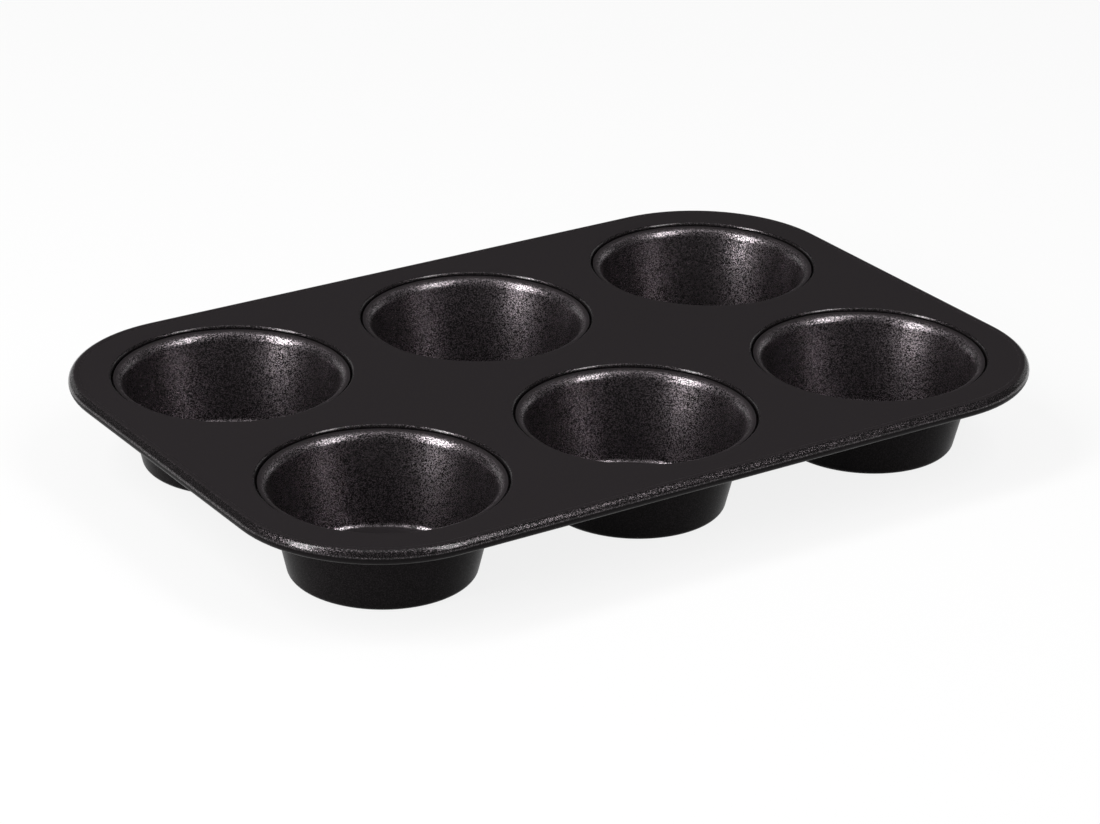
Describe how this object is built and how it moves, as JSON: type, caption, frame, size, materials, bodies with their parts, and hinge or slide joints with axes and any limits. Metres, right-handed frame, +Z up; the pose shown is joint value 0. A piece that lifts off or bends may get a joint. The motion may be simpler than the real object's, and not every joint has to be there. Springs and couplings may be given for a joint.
{
  "type": "muffin pan",
  "caption": "Flat pan with drawn round cups seamed into a rounded rectangular plate, whose edge is rolled round a wire, for baking muffins.",
  "frame": {"origin": "centre of the footprint, on the plane of the cups' undersides", "axes": "+X along the side with more cups, +Y across it towards the back row, +Z up out of the cups"},
  "size_m": [0.2648, 0.1798, 0.0285],
  "materials": {
    "plate_coating": "dull black non-stick coating on carbon steel",
    "cup_coating": "black non-stick coating with a fine metallic speckle",
    "wire_steel": "bare drawn wire, hidden in the roll"
  },
  "bodies": {
    "root": {"top_plate": "plate_coating", "rim_wire": "wire_steel", "cup_front_left": "cup_coating", "cup_front_middle": "cup_coating", "cup_front_right": "cup_coating", "cup_back_left": "cup_coating", "cup_back_middle": "cup_coating", "cup_back_right": "cup_coating"}
  },
  "joints": []
}
